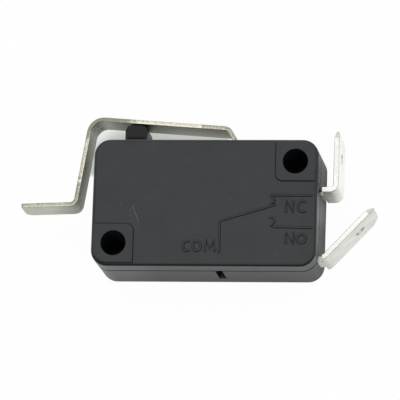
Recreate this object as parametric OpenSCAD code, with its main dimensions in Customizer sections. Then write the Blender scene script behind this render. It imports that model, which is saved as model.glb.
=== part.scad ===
// Miniature snap-action switch with a cranked lever and two quick-connect tabs.
// The origin is on the axis of the lower left mounting hole, at the back face.
// +X runs towards the tabs, +Y towards the plunger and +Z out of the front face.

/* [Body] */
// Distance between the mounting holes along X
hole_dx = 22.2; // [21.8:0.1:24]
// Distance between the mounting holes along Y
hole_dy = 10.3; // [10:0.1:11.5]
// Diameter of the mounting holes
hole_d = 3.1; // [2.8:0.05:3.2]
// Distance from a mounting hole's axis to the nearest outer sides
hole_margin = 2.8; // [2.75:0.05:3.2]
// Wall of the round boss about each mounting hole
boss_wall = 1.05; // [0.9:0.05:1.15]
// Height of the front face above the back face
face_z = 10.1; // [9.9:0.1:11]
// Height of the seam between the case and the cover
seam_z = 7.15; // [7:0.05:7.6]
// Height of the groove along the seam
seam_h = 0.3; // [0.2:0.05:0.4]
// Depth of the groove along the seam
seam_in = 0.15; // [0.1:0.05:0.2]
// Radius of the body's upright corners
corner_r = 2; // [1.8:0.1:2.4]
// Rounding of the body's front and back edges
edge_r = 0.45; // [0.2:0.05:0.5]
// Thickness of the side walls
wall = 1.4; // [1.3:0.05:1.5]
// Thickness of the case's floor
floor_t = 1.5; // [1.2:0.1:1.8]
// Thickness of the cover's face
face_t = 1.3; // [1:0.1:1.5]

/* [Pads and pegs] */
// Height of the raised pads about the mounting holes
pad_h = 0.2; // [0.1:0.05:0.4]
// Reach of a pad from its hole's axis towards the middle of the face
pad_reach = 2.5; // [2.3:0.05:2.6]
// Inset of the pads from the body's sides
pad_inset = 0.3; // [0.25:0.05:0.4]
// Radius of the pads' corners
pad_r = 0.95; // [0.6:0.05:1.2]
// Diameter of the cover's locating pegs
peg_d = 1.2; // [1:0.1:1.4]
// Length of the cover's locating pegs
peg_l = 1.6; // [1.2:0.1:2]
// Wall of the case's peg sockets
peg_wall = 0.55; // [0.45:0.05:0.6]

/* [Spare terminal slot] */
// Place of the spare slot in the bottom wall
spare_x = 12.7; // [11:0.1:14]
// Width of the spare slot
spare_w = 0.85; // [0.7:0.05:1]

/* [Plunger] */
// Place of the plunger's axis along X
plunger_x = 1.9; // [1.85:0.05:2.1]
// Width of the plunger along X
plunger_w = 2.75; // [2.6:0.05:2.8]
// Depth of the plunger along Z
plunger_d = 4.2; // [3.6:0.1:4.6]
// Free height of the plunger above the body
plunger_rise = 2.5; // [2.4:0.05:2.8]
// Radius of the corners of the plunger's crown
crown_r = 0.85; // [0.6:0.05:1]
// Length of the plunger's travel
travel_l = 2; // [1.6:0.1:2.2]
// Width of the recess in the plunger's front
recess_w = 2; // [1.6:0.1:2.2]
// Height of the recess in the plunger's front
recess_h = 0.9; // [0.6:0.1:1]
// Depth of the recess in the plunger's front
recess_in = 0.15; // [0.1:0.05:0.2]
// Overhang of the plunger's collar on each side
collar_over = 0.3; // [0.2:0.02:0.36]
// Height of the plunger's collar
collar_h = 1; // [0.8:0.1:1.2]
// Width of the plunger's stem below the collar
stem_w = 1.8; // [1.4:0.1:2]
// Depth of the plunger's stem along Z
stem_d = 2; // [1.6:0.1:2.4]

/* [Lever] */
// Thickness of the lever's strip
lever_t = 0.5; // [0.4:0.05:0.6]
// Width of the lever's strip
lever_w = 4.6; // [4.2:0.1:5]
// Place of the lever's pivot along X
pivot_x = 15.05; // [14.5:0.05:16]
// Depth of the lever's pivot below the body's top
pivot_depth = 0.7; // [0.6:0.05:0.75]
// Lean of the lever's foot from upright
foot_lean = 31; // [26:1:33]
// Gap between the arm's underside and the plunger's top
arm_gap = 0.045; // [0.03:0.005:0.08]
// Slope of the arm at rest
arm_slope = 4.2; // [3.8:0.1:5]
// Distance from the body's left side to the corner of arm and leg
leg_out = 1.15; // [0.95:0.05:2]
// Lean of the leg from upright
leg_lean = 8.6; // [6:0.2:11]
// Length of the leg between its bends' corners
leg_l = 11; // [9:0.05:13]
// Tilt of the turned-out tip
tip_tilt = 2; // [0:0.1:4]
// Length of the tip from the leg's corner
tip_l = 6.55; // [5:0.05:8]
// Radius of the tip's corner on the back side
tip_back_r = 1; // [0.5:0.1:1.5]
// Radius of the tip's corner on the front side
tip_front_r = 0.3; // [0.2:0.1:1.5]
// Inner radius of the bend above the foot
foot_bend_r = 0.6; // [0.4:0.1:0.8]
// Inner radius of the bend between arm and leg
crank_bend_r = 1.6; // [1:0.1:2]
// Inner radius of the bend between leg and tip
tip_bend_r = 0.6; // [0.4:0.1:1]
// Width of the foot where it passes the wall
foot_w = 3.4; // [3:0.1:3.6]
// Overhang of the foot's hooked end on each side
hook_over = 0.8; // [0.5:0.1:1]
// Length of the foot's hooked end
hook_l = 0.6; // [0.4:0.1:0.8]

/* [Terminals] */
// Thickness of the terminals' strip
strip_t = 0.65; // [0.5:0.05:0.8]
// Width of the strips inside the case
strip_w = 4.4; // [4.2:0.1:4.5]
// Width of the lower neck where it passes the end wall
neck_w = 3.5; // [3.2:0.1:3.5]
// Width of the upper neck
nc_neck_w = 2.4; // [2.2:0.1:2.8]
// Height of the necks' back edge above the back face
neck_z = 3.35; // [3.2:0.05:3.4]
// Height of the notch in the cover over the upper neck
notch_h = 1.05; // [0.8:0.05:1.2]
// Height of the strips' back edge above the back face
strip_z = 2.5; // [2.2:0.1:2.6]
// Width of the tabs
tab_w = 6.35; // [4.75:0.05:6.5]
// Height of the tabs' back edge above the back face
tab_z = 1.95; // [1.6:0.05:2.2]
// Distance from the end wall to the upper tab's shoulders
nc_gap = 0.35; // [0.2:0.05:0.4]
// Distance from the end wall to the lower tab's shoulders
com_gap = 0.6; // [0.4:0.05:0.7]
// Depth of the pocket in the bottom wall that the lower strip lies in
com_sink = 0.1; // [0.05:0.05:0.2]
// Length of the taper at the tabs' tips
taper_l = 1; // [0.6:0.1:1.4]
// Inset of the taper at the tabs' tips
taper_in = 0.9; // [0.6:0.1:1.2]
// Length of the coined lead-in at the tabs' tips
coin_l = 0.9; // [0.6:0.1:1.2]
// Depth of the coined lead-in on each side
coin_in = 0.18; // [0.1:0.02:0.2]
// Diameter of the tabs' latching hole
detent_d = 1.5; // [1.2:0.1:1.8]
// Distance from a tab's tip to its latching hole
detent_l = 3; // [2.6:0.1:3.4]
// Height of the upper strip's underside above the origin
nc_y = 6.9; // [6.6:0.02:7]
// Distance from the end wall to the upright tab's outer side
nc_reach = 2.35; // [2.3:0.05:3]
// Height of the upright tab's tip above its strip's underside
nc_rise = 7.8; // [6.8:0.1:9]
// Inner radius of the upper tab's bend
nc_bend_r = 0.35; // [0.25:0.05:0.5]
// Slant of the lower tab
com_slant = 47; // [35:1:50]
// Length of the lower tab from its corner
com_l = 8.65; // [7.6:0.05:10]
// Inner radius of the lower tab's bend
com_bend_r = 0.25; // [0.2:0.05:0.3]

/* [Contacts] */
// Distance from the end wall's outer side to the contacts' axis
contact_in = 7.5; // [7.2:0.1:8]
// Diameter of the contacts' heads
contact_d = 2.4; // [2:0.1:2.6]
// Height of the contacts' heads
contact_h = 0.6; // [0.5:0.05:0.7]
// Diameter of the contacts' shanks
shank_d = 1.2; // [1:0.1:1.4]
// Diameter of the contacts' closed heads
closing_d = 1.8; // [1.6:0.1:2]
// Height of the contacts' closed heads
closing_h = 0.25; // [0.2:0.05:0.3]

/* [Snap action] */
// Place of the forked post's outer side along X
post_x = 6.15; // [5.9:0.05:6.4]
// Thickness of the contact arm
beam_t = 0.4; // [0.3:0.05:0.5]
// Width of each leg of the fork and of the arm
fork_leg = 0.9; // [0.7:0.05:1]
// Distance from the arm's pivot to its spring hole
beam_hook_l = 6.8; // [6:0.1:7.4]
// Fall of the contact arm at full travel
beam_fall = 5.2; // [4:0.1:5.4]
// Thickness of the drive leaf
leaf_t = 0.35; // [0.25:0.05:0.4]
// Width of the drive leaf
leaf_w = 3; // [2.4:0.1:3.4]
// Distance from the leaf's pivot to its spring hole
leaf_hook_l = 5; // [4.6:0.1:5.2]
// Height of the leaf's pivot above the arm's pivot
leaf_above = 0.9; // [0.6:0.1:1.2]
// Rise of the leaf at rest
leaf_rise = 17; // [14:1:19]
// Radius of the leaf's rolled end
roll_r = 0.4; // [0.35:0.05:0.45]
// Rounding of the plunger's nose
nose_r = 0.7; // [0.5:0.05:0.8]
// Distance from a spring hole to the end of its strip
hook_margin = 0.6; // [0.5:0.05:0.65]
// Diameter of the spring holes
hook_hole_d = 0.8; // [0.7:0.05:0.9]
// Mean radius of the spring's coils
coil_r = 0.85; // [0.75:0.05:0.95]
// Diameter of the spring's wire
wire_d = 0.28; // [0.2:0.02:0.32]
// Number of the spring's turns
coil_turns = 14; // [10:1:18]

/* [Clearances] */
// Gap round sliding and turning pieces
run_gap = 0.05; // [0.03:0.01:0.08]
// Gap between fixed pieces that fit into each other
fit_gap = 0.03; // [0.02:0.01:0.05]

/* [Hidden] */
$fn = 64;
// Length by which a cut runs past the surface that it opens
over = 1;
// Thinning of a strip in its bends, on each side
bend_thin = 0.01;
// Length by which a straight strip runs into a bend
bend_lap = 0.05;
hole_r = hole_d / 2;
holes = [[0, 0], [hole_dx, hole_dy]];
left_x = -hole_margin;
right_x = hole_dx + hole_margin;
bottom_y = -hole_margin;
top_y = hole_dy + hole_margin;
inner_left = left_x + wall;
inner_right = right_x - wall;
inner_bottom = bottom_y + wall;
inner_top = top_y - wall;
cavity_r = max(corner_r - wall, edge_r);
ceiling_z = face_z - face_t;
root_z = floor_t / 2;
mid_z = (face_z + pad_h) / 2;
// Pegs beside the plunger and on the end wall, their bosses sunk a little into the walls
peg_boss_r = peg_d / 2 + fit_gap + peg_wall;
peg_in = 0.25;
peg_sink = 0.2;
peg_above = 2.9;
socket_gap = 0.2;
pegs = [
    [inner_left + peg_in, inner_top - peg_in],
    [inner_right - peg_boss_r + peg_sink, inner_bottom + strip_t + peg_above]
];
// Terminals
com_y = inner_bottom - com_sink;
mech_z = strip_z + strip_w / 2;
nc_shoulder = right_x + nc_gap;
com_shoulder = right_x + com_gap;
neck_x = inner_right - fit_gap;
contact_x = right_x - contact_in;
contact_margin = 0.2;
nc_end_x = contact_x - contact_d / 2 - contact_margin;
rib_l = 2.4;
rib_h = 0.8;
// Contact arm, level at rest with its contact just clear of the fixed one
beam_x = post_x + strip_t + fit_gap;
beam_y = nc_y - contact_h - run_gap - contact_h - beam_t / 2;
beam_l = contact_x - beam_x;
beam_end = 1.7;
beam_tip_w = 3;
taper_in_l = 1.4;
taper_run = 1;
beam_taper = [beam_hook_l + taper_in_l, beam_hook_l + taper_in_l + taper_run];
fork_gap = strip_w - 2 * fork_leg;
fork_rise = 0.6;
fork_top = beam_y + fork_rise;
fork_bottom = beam_y - coil_r - 2 * taper_in_l;
stop_x = contact_x + closing_d / 2 + contact_margin;
stop_l = 0.9;
stop_h = 1;
stop_gap = 0.06;
// Drive leaf, in the keyhole groove of a seat on the end wall
leaf_in = 0.65;
leaf_x = inner_left + leaf_in;
leaf_y = beam_y + leaf_above;
leaf_l = leaf_hook_l + hook_margin;
seat_r = roll_r + run_gap;
seat_hold = 0.6;
seat_face = leaf_x + seat_hold * roll_r;
seat_wall = 0.5;
leaf_z = mech_z - leaf_w / 2;
roll_over = 0.8;
roll_w = leaf_w + 2 * roll_over;
roll_z = mech_z - roll_w / 2;
// Plunger, with its nose just above the leaf and its crown just under the lever
plunger_z = seam_z - run_gap - plunger_d;
plunger_top = top_y + plunger_rise;
nose_lift = (nose_r + leaf_t / 2 + run_gap + (plunger_x - leaf_x) * sin(leaf_rise)) / cos(leaf_rise);
nose_y = leaf_y + nose_lift;
collar_top = inner_top - run_gap;
recess_above = 0.87;
// Lever, with the height of its arm set by the plunger's crown
pivot_y = top_y - pivot_depth;
crown_x = plunger_x + plunger_w / 2 - crown_r;
crown_y = plunger_top - crown_r;
arm_under = crown_r + arm_gap + (crown_y - pivot_y) * cos(arm_slope)
    - (pivot_x - crown_x) * sin(arm_slope);
arm_out = arm_under + lever_t;
foot_turn = 90 - foot_lean - arm_slope;
foot_l = (arm_out - lever_t / 2 * cos(foot_turn)) / sin(foot_turn);
foot_top_x = pivot_x - foot_l * sin(foot_lean) + lever_t / 2 * cos(foot_lean);
arm_l = (foot_top_x - left_x + leg_out) / cos(arm_slope);
crank_turn = 90 - leg_lean + arm_slope;
tip_turn = 90 - leg_lean - tip_tilt;
lever_z = mid_z - lever_w / 2;
foot_z = mid_z - foot_w / 2;
press_angle = travel_l / (pivot_x - plunger_x) * 180 / PI;
hook_drop = 1.15;
foot_clear = 0.35;
foot_reach = tan(foot_lean + press_angle) * max(pivot_depth, wall - pivot_depth);
foot_half = lever_t / 2 / cos(foot_lean + press_angle);
foot_slot = foot_reach + foot_half + run_gap;

// Distance from a corner to the start of its bend
function setback(turn, radius) = radius * tan(turn / 2);

// Unit vector along v
function unit(v) = v / norm(v);

// Point at a distance and angle from a centre in the XY plane
function polar(centre, distance, angle) = [
    centre[0] + distance * cos(angle),
    centre[1] + distance * sin(angle)
];

// Rectangle between two corners, with rounded corners
module rounded_rect(x0, y0, x1, y1, r) {
    for (x = [x0 + r, x1 - r])
        for (y = [y0 + r, y1 - r])
            translate([x, y]) circle(r);
    translate([x0 + r, y0]) square([x1 - x0 - 2 * r, y1 - y0]);
    translate([x0, y0 + r]) square([x1 - x0, y1 - y0 - 2 * r]);
}

// Outline of the body, drawn in by a distance
module body_outline(inset) {
    rounded_rect(
        left_x + inset, bottom_y + inset, right_x - inset, top_y - inset,
        max(corner_r - inset, edge_r)
    );
}

// Slab with the body's outline and a rounded upper edge
module body_slab(h) {
    ring_z = h - edge_r;
    xs = [left_x + corner_r, right_x - corner_r];
    ys = [bottom_y + corner_r, top_y - corner_r];
    linear_extrude(ring_z) body_outline(0);
    linear_extrude(h) body_outline(edge_r);
    for (x = xs)
        for (y = ys)
            translate([x, y, ring_z])
                rotate_extrude() translate([corner_r - edge_r, 0]) circle(edge_r);
    for (y = [bottom_y + edge_r, top_y - edge_r])
        translate([xs[0], y, ring_z]) rotate([0, 90, 0]) cylinder(r = edge_r, h = xs[1] - xs[0]);
    for (x = [left_x + edge_r, right_x - edge_r])
        translate([x, ys[0], ring_z]) rotate([-90, 0, 0]) cylinder(r = edge_r, h = ys[1] - ys[0]);
}

// Round bosses about the mounting holes
module bosses(z, h) {
    for (p = holes)
        translate([p[0], p[1], z]) cylinder(r = hole_r + boss_wall, h = h);
}

// Bores of the mounting holes
module bores(h) {
    for (p = holes)
        translate([p[0], p[1], -over]) cylinder(r = hole_r, h = h + 2 * over);
}

// Round bend of a strip that turns towards its left by a positive angle, its right by a negative one.
// Bending thins the metal a little.
module bend(turn, inner_r, thick, width) {
    start = turn > 0 ? -90 : 90 + turn;
    rotate(start)
        rotate_extrude(angle = abs(turn))
            translate([inner_r + bend_thin, 0]) square([thick - 2 * bend_thin, width]);
}

// Bend, and what follows it moved to its end
module fold(turn, inner_r, thick, width) {
    centre = turn > 0 ? inner_r + thick : -inner_r;
    translate([0, centre, 0]) {
        bend(turn, inner_r, thick, width);
        rotate(turn) translate([0, -centre, 0]) children();
    }
}

// Plate of a given thickness whose outline is drawn in the strip's length and width
module plate(thick) {
    translate([0, thick, 0]) rotate([90, 0, 0]) linear_extrude(thick) children();
}

// Rivet contact with its head towards +Z and its seat at the origin
module rivet(grip) {
    cylinder(d = contact_d, h = contact_h);
    translate([0, 0, -grip]) cylinder(d = shank_d, h = grip);
    translate([0, 0, -grip - closing_h]) cylinder(d = closing_d, h = closing_h);
}

// Blade of a tab with tapered and coined tip and latching hole
module tab_blade(l) {
    coin_slope = coin_in / coin_l;
    difference() {
        plate(strip_t)
            polygon([
                [-bend_lap, 0],
                [l - taper_l, 0],
                [l, taper_in],
                [l, tab_w - taper_in],
                [l - taper_l, tab_w],
                [-bend_lap, tab_w]
            ]);
        translate([l - detent_l, -over, tab_w / 2])
            rotate([-90, 0, 0]) cylinder(d = detent_d, h = strip_t + 2 * over);
        for (side = [0, 1])
            translate([l - coin_l, side * strip_t, -over])
                mirror([0, side, 0])
                    linear_extrude(tab_w + 2 * over)
                        polygon([
                            [0, 0],
                            [coin_l + over, -over],
                            [coin_l + over, (coin_l + over) * coin_slope]
                        ]);
    }
}

// Moulded lower shell with the mechanism's seats
module case() {
    color("#4a4b4d") difference() {
        union() {
            difference() {
                translate([0, 0, seam_z]) mirror([0, 0, 1]) body_slab(seam_z);
                translate([0, 0, floor_t]) linear_extrude(seam_z) body_outline(wall);
            }
            bosses(root_z, seam_z - root_z);
            for (p = pegs)
                translate([p[0], p[1], root_z]) cylinder(r = peg_boss_r, h = seam_z - root_z);
            leaf_seat();
            strip_ribs();
            beam_stop();
        }
        bores(seam_z);
        seam_groove();
        for (p = pegs)
            translate([p[0], p[1], seam_z - peg_l - socket_gap])
                cylinder(d = peg_d + 2 * fit_gap, h = peg_l + over);
        wall_slot(plunger_x - plunger_w / 2 - run_gap, plunger_w + 2 * run_gap, plunger_z - run_gap);
        wall_slot(pivot_x - foot_slot, 2 * foot_slot, foot_z - run_gap);
        end_slot(nc_y - fit_gap, strip_t + 2 * fit_gap);
        end_slot(com_y, strip_t + fit_gap);
        translate([post_x - fit_gap, com_y, strip_z])
            cube([inner_right - post_x + fit_gap, com_sink + fit_gap, seam_z]);
        translate([spare_x - spare_w / 2, bottom_y - over, strip_z + fit_gap])
            cube([spare_w, wall + over, seam_z]);
        translate([leaf_x, leaf_y, roll_z - run_gap]) cylinder(r = seat_r, h = seam_z);
    }
}

// Groove round the case's rim that parts it from the cover
module seam_groove() {
    translate([0, 0, seam_z - seam_h]) linear_extrude(seam_h + over) difference() {
        body_outline(-over);
        body_outline(seam_in);
    }
}

// Seat on the left wall whose groove holds the leaf's rolled end
module leaf_seat() {
    seat_h = 2 * (seat_r + seat_wall);
    translate([inner_left - fit_gap, leaf_y - seat_h / 2, root_z])
        cube([seat_face - inner_left + fit_gap, seat_h, roll_z + roll_w - root_z]);
}

// Stop under the contact arm's tip
module beam_stop() {
    fall = (stop_x + stop_l - beam_x) * sin(beam_fall);
    stop_y = beam_y - fall - beam_t / 2 - stop_gap - stop_h;
    translate([stop_x, stop_y, root_z]) cube([stop_l, stop_h, strip_z + strip_w - root_z]);
}

// Ribs that clamp the terminals' strips beside the end wall
module strip_ribs() {
    rib_x = inner_right - rib_l;
    rib_z = strip_z + strip_w - root_z;
    for (y = [nc_y + strip_t + fit_gap, nc_y - fit_gap - rib_h, com_y + strip_t + fit_gap])
        translate([rib_x, y, root_z]) cube([rib_l + fit_gap, rib_h, rib_z]);
}

// Slot through the top wall that is open at the seam
module wall_slot(x, w, z) {
    translate([x, inner_top - fit_gap, z]) cube([w, wall + fit_gap + over, seam_z]);
}

// Slot through the right wall that is open at the seam, and room for the strip in the cavity's corner
module end_slot(y, h) {
    translate([inner_right - cavity_r, y, strip_z]) cube([cavity_r, h, seam_z]);
    translate([inner_right - fit_gap, y, neck_z - fit_gap]) cube([wall + fit_gap + over, h, seam_z]);
}

// Moulded front with the raised pads, the locating pegs and the tongue that closes the lever's slot
module cover() {
    color("#434446") difference() {
        union() {
            translate([0, 0, seam_z]) difference() {
                body_slab(face_z - seam_z);
                translate([0, 0, -over])
                    linear_extrude(ceiling_z - seam_z + over) body_outline(wall);
            }
            bosses(seam_z, face_z - seam_z - edge_r);
            translate([0, 0, ceiling_z]) linear_extrude(face_z + pad_h - ceiling_z) pads();
            for (p = pegs)
                translate([p[0], p[1], seam_z - peg_l]) cylinder(d = peg_d, h = ceiling_z - seam_z + peg_l);
            tongue(pivot_x - foot_slot + fit_gap, 2 * (foot_slot - fit_gap), foot_z + foot_w);
        }
        bores(face_z + pad_h);
        translate([inner_right - fit_gap, nc_y - fit_gap, seam_z - over])
            cube([wall + fit_gap + over, strip_t + 2 * fit_gap, notch_h + over]);
    }
}

// Outlines of the raised pads, each running out to its corner of the face
module pads() {
    intersection() {
        body_outline(pad_inset);
        union() {
            rounded_rect(left_x - over, bottom_y - over, pad_reach, pad_reach, pad_r);
            rounded_rect(
                hole_dx - pad_reach, hole_dy - pad_reach, right_x + over, top_y + over, pad_r
            );
        }
    }
}

// Tongue of the cover that fills a slot of the top wall above a moving piece
module tongue(x, w, z) {
    translate([x, inner_top, z + run_gap]) cube([w, wall, seam_z - z]);
}

// Button with a rounded crown, a recess in its front, a collar under the wall and a nose on the leaf
module plunger() {
    collar_w = plunger_w + 2 * collar_over;
    flat = plunger_w - 2 * crown_r;
    recess_y = top_y + recess_above - recess_h;
    color("#2c2e2c") difference() {
        union() {
            translate([0, 0, plunger_z]) linear_extrude(plunger_d) {
                for (x = [plunger_x - flat / 2, plunger_x + flat / 2])
                    translate([x, crown_y]) circle(crown_r);
                translate([plunger_x - flat / 2, crown_y]) square([flat, crown_r]);
                translate([plunger_x - plunger_w / 2, collar_top - collar_h])
                    square([plunger_w, crown_y - collar_top + collar_h]);
                translate([plunger_x - collar_w / 2, collar_top - collar_h])
                    square([collar_w, collar_h]);
            }
            translate([0, 0, mid_z - stem_d / 2]) linear_extrude(stem_d) {
                translate([plunger_x, nose_y]) circle(nose_r);
                translate([plunger_x - nose_r, nose_y])
                    square([2 * nose_r, collar_top - nose_y - collar_h / 2]);
                translate([plunger_x - stem_w / 2, nose_y + nose_r])
                    square([stem_w, collar_top - nose_y - nose_r - collar_h / 2]);
            }
        }
        translate([plunger_x - recess_w / 2, recess_y, plunger_z + plunger_d - recess_in])
            cube([recess_w, recess_h, recess_in + over]);
    }
}

// Bent strip: hooked foot in the wall, arm over the plunger, leg and turned-out tip
module lever() {
    foot_bend = setback(foot_turn, foot_bend_r + lever_t);
    crank_bend = setback(crank_turn, crank_bend_r + lever_t);
    tip_bend = setback(tip_turn, tip_bend_r);
    narrow_l = foot_slot_exit();
    hook_w = foot_w + 2 * hook_over;
    color("#b9b7ab")
        translate([pivot_x, pivot_y, 0])
            rotate(90 + foot_lean)
                translate([0, -lever_t / 2, 0]) {
                    translate([-hook_drop - hook_l, 0, mid_z - hook_w / 2])
                        cube([hook_l, lever_t, hook_w]);
                    translate([-hook_drop, 0, foot_z])
                        cube([hook_drop + narrow_l + bend_lap, lever_t, foot_w]);
                    translate([narrow_l, 0, lever_z])
                        cube([foot_l - foot_bend - narrow_l + bend_lap, lever_t, lever_w]);
                    translate([foot_l - foot_bend, 0, lever_z])
                        fold(foot_turn, foot_bend_r, lever_t, lever_w)
                            lever_arm(arm_l - foot_bend - crank_bend)
                                lever_leg(leg_l - crank_bend - tip_bend)
                                    lever_tip(tip_l - tip_bend);
                }
}

// Distance along the foot at which it has left the wall and may widen
function foot_slot_exit() = (pivot_depth + foot_clear) / cos(foot_lean);

// Arm of the lever and the bend at its end
module lever_arm(l) {
    translate([-bend_lap, 0, 0]) cube([l + 2 * bend_lap, lever_t, lever_w]);
    translate([l, 0, 0]) fold(crank_turn, crank_bend_r, lever_t, lever_w) children();
}

// Leg of the lever and the bend at its end
module lever_leg(l) {
    translate([-bend_lap, 0, 0]) cube([l + 2 * bend_lap, lever_t, lever_w]);
    translate([l, 0, 0]) fold(-tip_turn, tip_bend_r, lever_t, lever_w) children();
}

// Tip of the lever with rounded corners
module lever_tip(l) {
    plate(lever_t) {
        translate([0, tip_back_r]) square([l, lever_w - tip_back_r - tip_front_r]);
        translate([l - tip_back_r, tip_back_r]) circle(tip_back_r);
        translate([l - tip_front_r, lever_w - tip_front_r]) circle(tip_front_r);
        translate([-bend_lap, 0]) square([l - tip_back_r + bend_lap, lever_w]);
        translate([0, lever_w / 2]) square([l - tip_front_r, lever_w / 2]);
    }
}

// Upper terminal: contact strip, neck in the wall and upright tab
module nc_terminal() {
    outer_r = nc_bend_r + strip_t;
    bend_x = right_x + nc_reach - outer_r;
    color("#d9dad4") difference() {
        translate([0, nc_y, 0]) {
            translate([nc_end_x, 0, strip_z]) cube([neck_x - nc_end_x, strip_t, strip_w]);
            translate([neck_x - bend_lap, 0, neck_z])
                cube([nc_shoulder - neck_x + 2 * bend_lap, strip_t, nc_neck_w]);
            translate([nc_shoulder, 0, tab_z]) cube([bend_x - nc_shoulder + bend_lap, strip_t, tab_w]);
            translate([bend_x, 0, tab_z])
                fold(90, nc_bend_r, strip_t, tab_w) tab_blade(nc_rise - outer_r);
        }
        translate([contact_x, nc_y - over, mech_z])
            rotate([-90, 0, 0]) cylinder(d = shank_d + 2 * fit_gap, h = strip_t + 2 * over);
    }
}

// Fixed contact riveted under the upper strip
module nc_contact() {
    color("#c9c4b4")
        translate([contact_x, nc_y, mech_z]) rotate([90, 0, 0]) rivet(strip_t);
}

// Lower terminal: forked post, strip along the bottom wall, neck and slanted tab
module common_terminal() {
    post_bend_r = strip_t;
    post_outer_r = post_bend_r + strip_t;
    blade_bend = setback(com_slant, com_bend_r + strip_t);
    floor_x = post_x + post_outer_r;
    color("#d9dad4") difference() {
        union() {
            translate([post_x, com_y + post_outer_r, strip_z])
                cube([strip_t, fork_top - com_y - post_outer_r, strip_w]);
            translate([floor_x, com_y + post_outer_r, strip_z])
                rotate(180) rotate_extrude(angle = 90)
                    translate([post_bend_r, 0]) square([strip_t, strip_w]);
            translate([floor_x, com_y, strip_z]) cube([neck_x - floor_x, strip_t, strip_w]);
            translate([neck_x - bend_lap, com_y, neck_z])
                cube([com_shoulder - neck_x + 2 * bend_lap, strip_t, neck_w]);
            translate([com_shoulder, com_y, tab_z])
                fold(com_slant, com_bend_r, strip_t, tab_w) tab_blade(com_l - blade_bend);
        }
        translate([post_x - over, fork_bottom, mech_z - fork_gap / 2])
            cube([strip_t + 2 * over, fork_top, fork_gap]);
        translate([beam_x, beam_y, strip_z - over])
            cylinder(r = beam_t / 2 + run_gap, h = strip_w + 2 * over);
    }
}

// Leaf between the plunger and the spring, with a rolled end in the case's groove
module drive_leaf() {
    color("#c8a86a")
        translate([leaf_x, leaf_y, 0]) rotate(leaf_rise) {
            translate([0, 0, roll_z]) cylinder(r = roll_r, h = roll_w);
            difference() {
                translate([0, -leaf_t / 2, leaf_z]) cube([leaf_l, leaf_t, leaf_w]);
                translate([leaf_hook_l, -over, mech_z])
                    rotate([-90, 0, 0]) cylinder(d = hook_hole_d, h = 2 * over);
            }
        }
}

// Rocking arm: two legs in the fork's grooves, a bar for the spring and a tip for the contact
module contact_arm() {
    half = strip_w / 2;
    tip_half = beam_tip_w / 2;
    color("#c98f5a")
        translate([beam_x, beam_y - beam_t / 2, mech_z]) difference() {
            union() {
                plate(beam_t)
                    polygon([
                        [0, -half],
                        [beam_taper[0], -half],
                        [beam_taper[1], -tip_half],
                        [beam_l + beam_end, -tip_half],
                        [beam_l + beam_end, tip_half],
                        [beam_taper[1], tip_half],
                        [beam_taper[0], half],
                        [0, half]
                    ]);
                translate([0, beam_t / 2, -half]) cylinder(d = beam_t, h = strip_w);
            }
            translate([-over, -over, -fork_gap / 2])
                cube([beam_hook_l - hook_margin + over, beam_t + 2 * over, fork_gap]);
            translate([beam_hook_l, -over, 0])
                rotate([-90, 0, 0]) cylinder(d = hook_hole_d, h = beam_t + 2 * over);
            translate([beam_l, -over, 0])
                rotate([-90, 0, 0]) cylinder(d = shank_d + 2 * fit_gap, h = beam_t + 2 * over);
        }
}

// Contact riveted to the arm's tip
module moving_contact() {
    color("#c9c4b4")
        translate([contact_x, beam_y + beam_t / 2, mech_z]) rotate([-90, 0, 0]) rivet(beam_t);
}

// Coil spring with an open hook at each end, drawn along its own axis
module tension_spring() {
    from = polar([leaf_x, leaf_y], leaf_hook_l, leaf_rise);
    to = [beam_x + beam_hook_l, beam_y];
    span = norm(to - from);
    color("#b8bcc0")
        translate([from[0], from[1], mech_z])
            rotate(atan2(to[1] - from[1], to[0] - from[0]))
                wire(spring_path(span), wire_d / 2);
}

// Points of the spring: hook, coils and hook
function spring_path(span) =
    let (
        steps = 12,
        step = 360 / steps,
        coil_l = span - 2 * coil_r,
        pitch = coil_l / coil_turns,
        hook = [for (a = [step:step:180 - step]) coil_r * [sin(a), cos(a), 0]]
    )
    concat(
        [for (p = hook) [coil_r - p[0], -p[1], 0]],
        [for (i = [0:coil_turns * steps])
            [coil_r + pitch * i / steps, coil_r * cos(step * i), coil_r * sin(step * i)]],
        [for (p = hook) [span - coil_r + p[0], p[1], 0]]
    );

// Round wire along a path
module wire(path, r) {
    sides = 6;
    last = len(path) - 1;
    heading = [for (i = [0:last]) unit(path[min(i + 1, last)] - path[max(i - 1, 0)])];
    normal = [
        for (i = 0, n = [0, 0, 1]; i <= last; i = i + 1, n = across(n, heading[min(i, last)]))
            across(n, heading[i])
    ];
    points = [
        for (i = [0:last])
            for (k = [0:sides - 1])
                path[i] + r * (cos(360 * k / sides) * normal[i]
                    + sin(360 * k / sides) * cross(heading[i], normal[i]))
    ];
    skin = [
        for (i = [0:last - 1])
            for (k = [0:sides - 1])
                let (a = i * sides + k, b = i * sides + (k + 1) % sides)
                    each [[a, a + sides, b], [b, a + sides, b + sides]]
    ];
    ends = [
        [for (k = [0:sides - 1]) k],
        [for (k = [0:sides - 1]) last * sides + sides - 1 - k]
    ];
    polyhedron(points, concat(skin, ends));
}

// Part of a vector that lies across a heading
function across(v, heading) = unit(v - heading * (v * heading));

case();
cover();
plunger();
lever();
nc_terminal();
nc_contact();
common_terminal();
drive_leaf();
contact_arm();
moving_contact();
tension_spring();
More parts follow.
